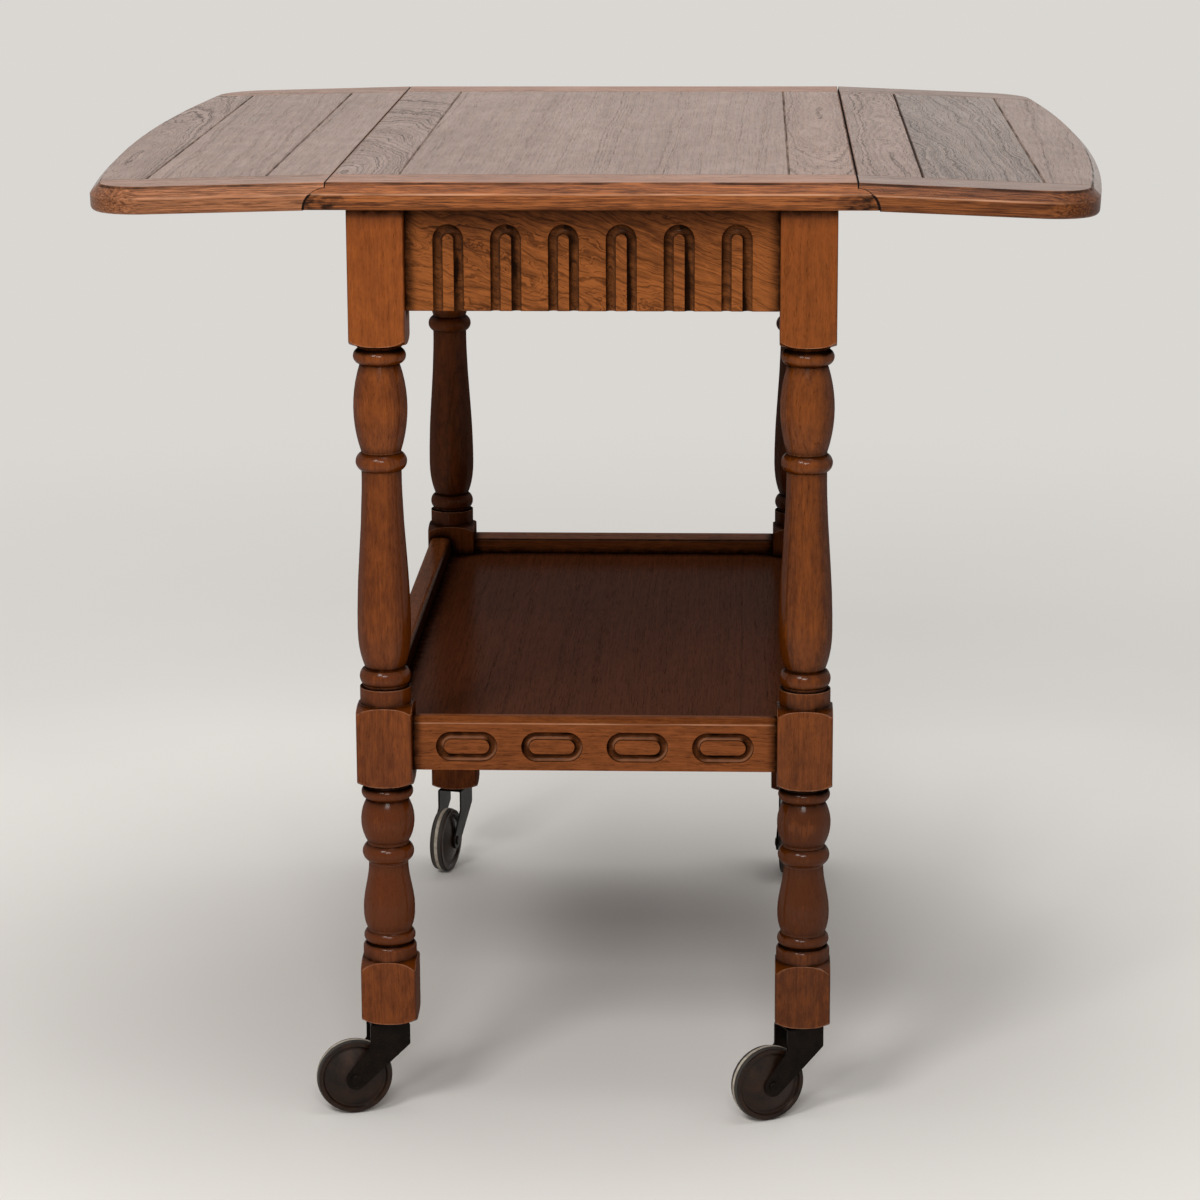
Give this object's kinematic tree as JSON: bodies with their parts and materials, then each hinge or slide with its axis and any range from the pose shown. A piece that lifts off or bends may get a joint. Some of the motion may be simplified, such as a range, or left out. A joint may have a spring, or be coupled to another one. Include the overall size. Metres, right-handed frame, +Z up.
{
  "type": "drop leaf tea trolley",
  "caption": "Oak tea trolley on casters, with drop leaves on rule joints, swing-out brackets, turned legs, fluted aprons and a low shelf.",
  "frame": {"origin": "on the floor, under the middle of the open top", "axes": "+Z up, front end towards -Y, leaves open towards -X and +X"},
  "size_m": [0.7835, 0.719, 0.7317],
  "materials": {
    "oak_top": "satin lacquered oak",
    "oak_leaf": "satin lacquered oak",
    "oak_frame": "satin stained oak",
    "oak_carved": "satin stained oak, dark in the carving",
    "oak_shelf": "dark stained oak",
    "oak_inside": "unfinished oak",
    "steel": "plain steel",
    "bronzed": "dark bronze finish, worn",
    "tread": "pale grey rubber, matt"
  },
  "bodies": {
    "frame": {"top_panel": "oak_top", "top_stile_left": "oak_top", "top_stile_right": "oak_top", "top_border_front": "oak_top", "top_border_back": "oak_top", "hinge_plates_fixed": "steel", "hinge_pins": "steel", "hinge_screws_fixed": "steel", "apron_front": "oak_carved", "apron_back": "oak_carved", "apron_left": "oak_carved", "apron_right": "oak_carved", "rail_front": "oak_frame", "rail_back": "oak_frame", "rail_left": "oak_frame", "rail_right": "oak_frame", "leg_front_left": "oak_frame", "leg_front_right": "oak_frame", "leg_back_left": "oak_frame", "leg_back_right": "oak_frame", "bracket_pins": "steel", "shelf": "oak_shelf", "shelf_battens": "oak_inside", "glue_blocks": "oak_inside", "glue_block_screws": "steel", "caster_stems": "steel", "caster_sockets": "steel"},
    "leaf_left": {"leaf_left_inner": "oak_leaf", "leaf_left_middle": "oak_leaf", "leaf_left_outer": "oak_leaf", "leaf_left_border_front": "oak_leaf", "leaf_left_border_back": "oak_leaf", "hinge_plates_leaf_left": "steel", "hinge_screws_leaf_left": "steel"},
    "bracket_left": {"bracket_left": "oak_frame"},
    "leaf_right": {"leaf_right_inner": "oak_leaf", "leaf_right_middle": "oak_leaf", "leaf_right_outer": "oak_leaf", "leaf_right_border_front": "oak_leaf", "leaf_right_border_back": "oak_leaf", "hinge_plates_leaf_right": "steel", "hinge_screws_leaf_right": "steel"},
    "bracket_right": {"bracket_right": "oak_frame"},
    "fork_front_left": {"caster_fork_front_left": "bronzed", "caster_axle_front_left": "bronzed"},
    "wheel_front_left": {"caster_wheel_front_left": "bronzed", "caster_tyre_front_left": "tread"},
    "fork_front_right": {"caster_fork_front_right": "bronzed", "caster_axle_front_right": "bronzed"},
    "wheel_front_right": {"caster_wheel_front_right": "bronzed", "caster_tyre_front_right": "tread"},
    "fork_back_left": {"caster_fork_back_left": "bronzed", "caster_axle_back_left": "bronzed"},
    "wheel_back_left": {"caster_wheel_back_left": "bronzed", "caster_tyre_back_left": "tread"},
    "fork_back_right": {"caster_fork_back_right": "bronzed", "caster_axle_back_right": "bronzed"},
    "wheel_back_right": {"caster_wheel_back_right": "bronzed", "caster_tyre_back_right": "tread"}
  },
  "joints": [
    {"name": "leaf_left_hinge", "type": "hinge", "parent": "frame", "child": "leaf_left", "pos_m": [-0.1945, 0, 0.7117], "axis": [0, 1, 0], "range_deg": [-88.55, 1.45]},
    {"name": "leaf_right_hinge", "type": "hinge", "parent": "frame", "child": "leaf_right", "pos_m": [0.1945, 0, 0.7117], "axis": [0, -1, 0], "range_deg": [-87.55, 2.45]},
    {"name": "bracket_left_pivot", "type": "hinge", "parent": "frame", "child": "bracket_left", "pos_m": [-0.16895, 0, 0.69], "axis": [0, 0, 1], "range_deg": [0, 90]},
    {"name": "bracket_right_pivot", "type": "hinge", "parent": "frame", "child": "bracket_right", "pos_m": [0.16895, 0, 0.69], "axis": [0, 0, -1], "range_deg": [0, 90]},
    {"name": "caster_swivel_front_left", "type": "hinge", "parent": "frame", "child": "fork_front_left", "pos_m": [-0.16, -0.322, 0.07], "axis": [0, 0, 1], "continuous": true},
    {"name": "caster_swivel_front_right", "type": "hinge", "parent": "frame", "child": "fork_front_right", "pos_m": [0.16, -0.322, 0.07], "axis": [0, 0, 1], "continuous": true},
    {"name": "caster_swivel_back_left", "type": "hinge", "parent": "frame", "child": "fork_back_left", "pos_m": [-0.16, 0.322, 0.07], "axis": [0, 0, 1], "continuous": true},
    {"name": "caster_swivel_back_right", "type": "hinge", "parent": "frame", "child": "fork_back_right", "pos_m": [0.16, 0.322, 0.07], "axis": [0, 0, 1], "continuous": true},
    {"name": "wheel_spin_front_left", "type": "hinge", "parent": "fork_front_left", "child": "wheel_front_left", "pos_m": [-0.18911, -0.32926, 0.0298], "axis": [0.2419, -0.9703, 0], "continuous": true},
    {"name": "wheel_spin_front_right", "type": "hinge", "parent": "fork_front_right", "child": "wheel_front_right", "pos_m": [0.13327, -0.33562, 0.0298], "axis": [0.454, -0.891, 0], "continuous": true},
    {"name": "wheel_spin_back_left", "type": "hinge", "parent": "fork_back_left", "child": "wheel_back_left", "pos_m": [-0.16776, 0.29302, 0.0298], "axis": [0.9659, -0.2588, 0], "continuous": true},
    {"name": "wheel_spin_back_right", "type": "hinge", "parent": "fork_back_right", "child": "wheel_back_right", "pos_m": [0.15582, 0.29229, 0.0298], "axis": [0.9903, -0.1392, 0], "continuous": true}
  ]
}
